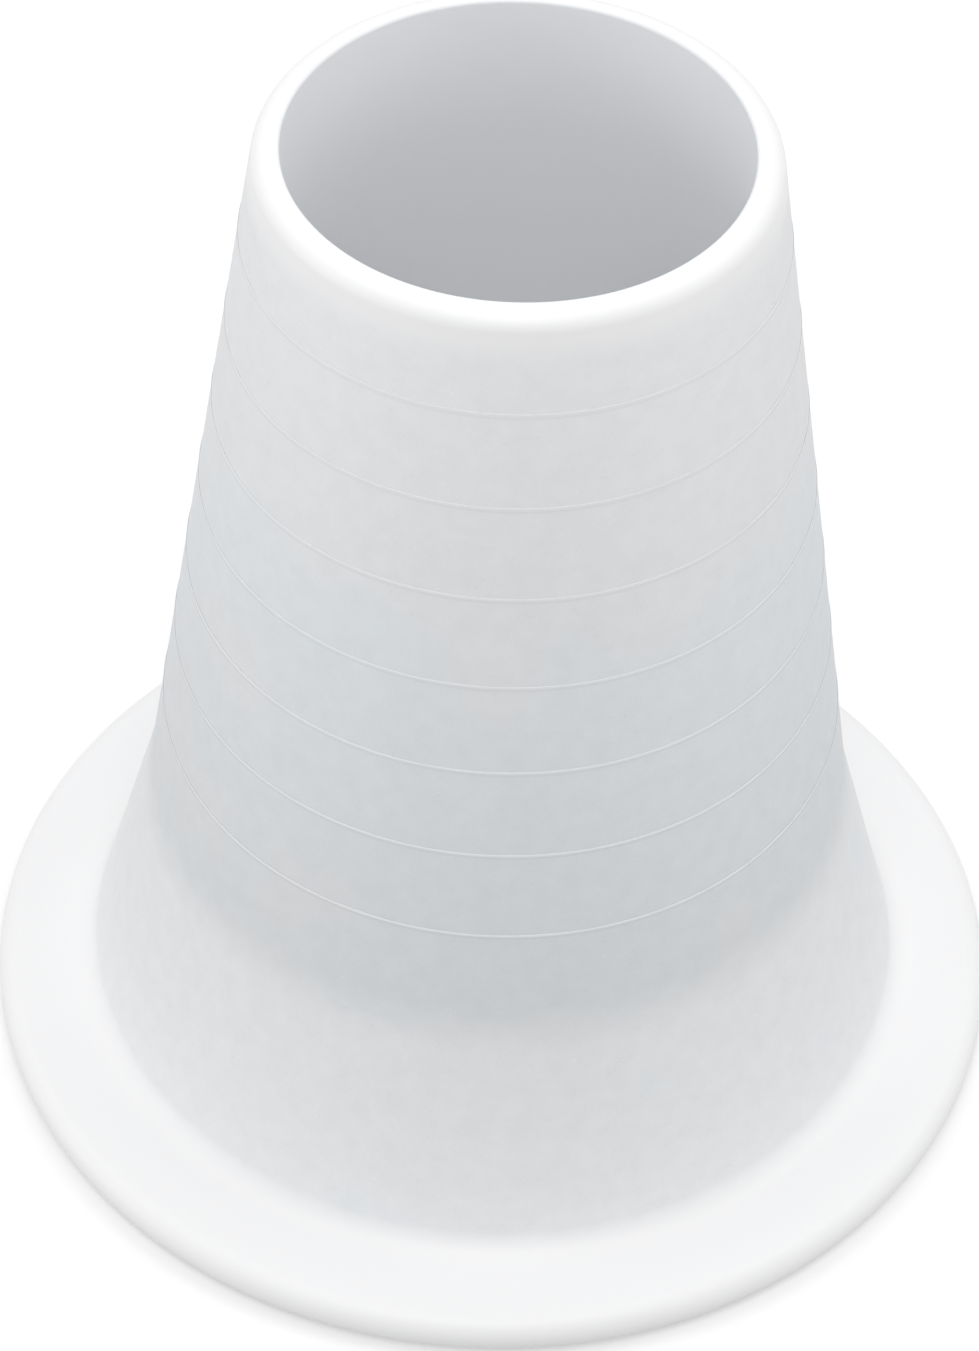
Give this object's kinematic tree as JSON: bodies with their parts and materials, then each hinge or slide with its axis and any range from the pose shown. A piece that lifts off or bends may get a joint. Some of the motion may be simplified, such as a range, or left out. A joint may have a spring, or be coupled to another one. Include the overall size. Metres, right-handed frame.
{
  "type": "buchner funnel adapter sleeve",
  "caption": "Tapered white silicone sleeve with a rounded lip, raised trim lines on its cone, a wider flare and a flat flange, used to seat a filter funnel in a flask neck.",
  "frame": {"origin": "centre of the flange's underside, on the sleeve's axis", "axes": "+Z along the sleeve's axis, from the flange towards the narrow mouth; X and Y are equal"},
  "size_m": [0.0538, 0.0538, 0.0564],
  "materials": {
    "frosted_silicone": "white silicone with a fine frosted, faintly mottled mould texture",
    "smooth_silicone": "the same white silicone with a smooth satin surface"
  },
  "bodies": {
    "root": {"mouth_lip": "smooth_silicone", "trim_band_1": "frosted_silicone", "trim_band_2": "frosted_silicone", "trim_band_3": "frosted_silicone", "trim_band_4": "frosted_silicone", "trim_band_5": "frosted_silicone", "trim_band_6": "frosted_silicone", "base_band": "frosted_silicone", "flare_skirt": "frosted_silicone", "flange_ring": "smooth_silicone", "trim_line_1": "frosted_silicone", "trim_line_2": "frosted_silicone", "trim_line_3": "frosted_silicone", "trim_line_4": "frosted_silicone", "trim_line_5": "frosted_silicone", "trim_line_6": "frosted_silicone", "trim_line_7": "frosted_silicone"}
  },
  "joints": []
}
